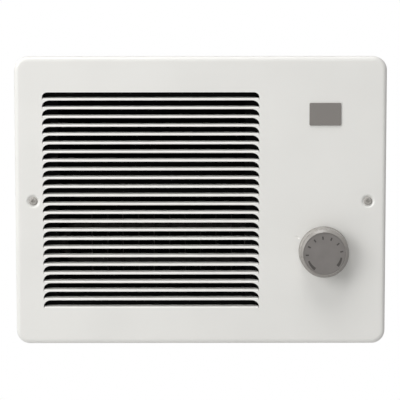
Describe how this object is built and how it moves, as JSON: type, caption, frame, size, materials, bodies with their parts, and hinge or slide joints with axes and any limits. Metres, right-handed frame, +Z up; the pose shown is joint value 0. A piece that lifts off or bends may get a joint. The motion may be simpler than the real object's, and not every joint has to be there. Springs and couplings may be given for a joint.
{
  "type": "bathroom wall fan heater",
  "caption": "In-wall fan heater: white louvred panel with a round thermostat knob and a blank badge, over a sheet-steel can that holds a cross-flow blower, a finned element and the controls.",
  "frame": {"origin": "middle of the front panel on the wall surface, which is the plane of the panel rim's back edge", "axes": "+X to the right and +Z up as the panel is looked at, +Y into the wall, so the panel faces -Y"},
  "size_m": [0.33, 0.1273, 0.257],
  "materials": {
    "white_paint": "satin white powder coat",
    "badge_grey": "satin warm grey",
    "knob_grey": "moulded, fine satin",
    "dial_grey": "moulded, fine satin",
    "zinc_steel": "galvanised, faint spangle",
    "black_enamel": "satin black enamel",
    "screw_steel": "zinc plated",
    "spring_steel": "ground",
    "laminated_steel": "stacked laminations",
    "element_steel": "heat-darkened",
    "aluminium": "satin",
    "brass": "turned",
    "bronze": "rolled",
    "rubber": "matte",
    "phenolic": "moulded",
    "ceramic": "unglazed",
    "winding_tape": "taped winding",
    "black_lead": "extruded insulation",
    "white_lead": "extruded insulation",
    "red_lead": "extruded insulation",
    "green_screw": "dyed zinc plating"
  },
  "bodies": {
    "housing": {"front_grille": "white_paint", "badge_plate": "badge_grey", "grille_screw_left": "screw_steel", "grille_screw_right": "screw_steel", "grille_nut_left": "spring_steel", "grille_nut_right": "spring_steel", "can_end_left": "zinc_steel", "can_end_right": "zinc_steel", "can_wrapper": "zinc_steel", "knockout_blank": "zinc_steel", "wiring_partition": "zinc_steel", "lead_grommet": "rubber", "ground_screw": "green_screw", "heater_chassis": "black_enamel", "chassis_screw_top_left": "screw_steel", "chassis_screw_top_right": "screw_steel", "chassis_screw_bottom_left": "screw_steel", "chassis_screw_bottom_right": "screw_steel", "blower_scroll": "black_enamel", "blower_cutoff": "black_enamel", "blower_end_left": "black_enamel", "blower_end_right": "black_enamel", "idle_bearing": "bronze", "bearing_grommet": "rubber", "motor_stator": "laminated_steel", "motor_coil": "winding_tape", "motor_bracket_inner": "aluminium", "motor_bracket_outer": "aluminium", "motor_screw_front": "screw_steel", "motor_screw_back": "screw_steel", "element_sheath": "element_steel", "element_fins": "element_steel", "element_clip": "zinc_steel", "element_bushing_upper": "ceramic", "element_bushing_lower": "ceramic", "element_terminal_upper": "brass", "element_terminal_lower": "brass", "limit_thermostat": "aluminium", "thermostat_frame": "zinc_steel", "thermostat_nut": "brass", "thermostat_base": "phenolic", "arm_pivot_pin": "spring_steel", "terminal_line": "brass", "terminal_load": "brass", "supply_lead_line": "black_lead", "supply_lead_neutral": "white_lead", "limit_lead": "red_lead", "element_lead": "red_lead", "motor_lead_front": "black_lead", "motor_lead_back": "white_lead"},
    "knob": {"thermostat_knob": "knob_grey", "knob_dial_face": "dial_grey", "knob_spring_clip": "spring_steel", "thermostat_spindle": "brass"},
    "arm": {"contact_arm": "bronze"},
    "blower": {"blower_wheel": "black_enamel", "idle_axle": "spring_steel", "motor_shaft": "spring_steel", "motor_rotor": "laminated_steel"}
  },
  "joints": [
    {"name": "knob_turn", "type": "hinge", "parent": "housing", "child": "knob", "pos_m": [0.1096, -0.0137, -0.0447], "axis": [0, 1, 0], "range_deg": [-180, 70]},
    {"name": "contact_arm_swing", "type": "hinge", "parent": "housing", "child": "arm", "pos_m": [0.092, 0.0084, -0.0447], "axis": [0, 0, 1], "range_deg": [-4.8, 1.9]},
    {"name": "blower_spin", "type": "hinge", "parent": "housing", "child": "blower", "pos_m": [-0.046, 0.047, 0.044], "axis": [1, 0, 0], "continuous": true}
  ],
  "couplings": [
    {"joint": "contact_arm_swing", "follows": "knob_turn", "ratio": 0.026086}
  ]
}
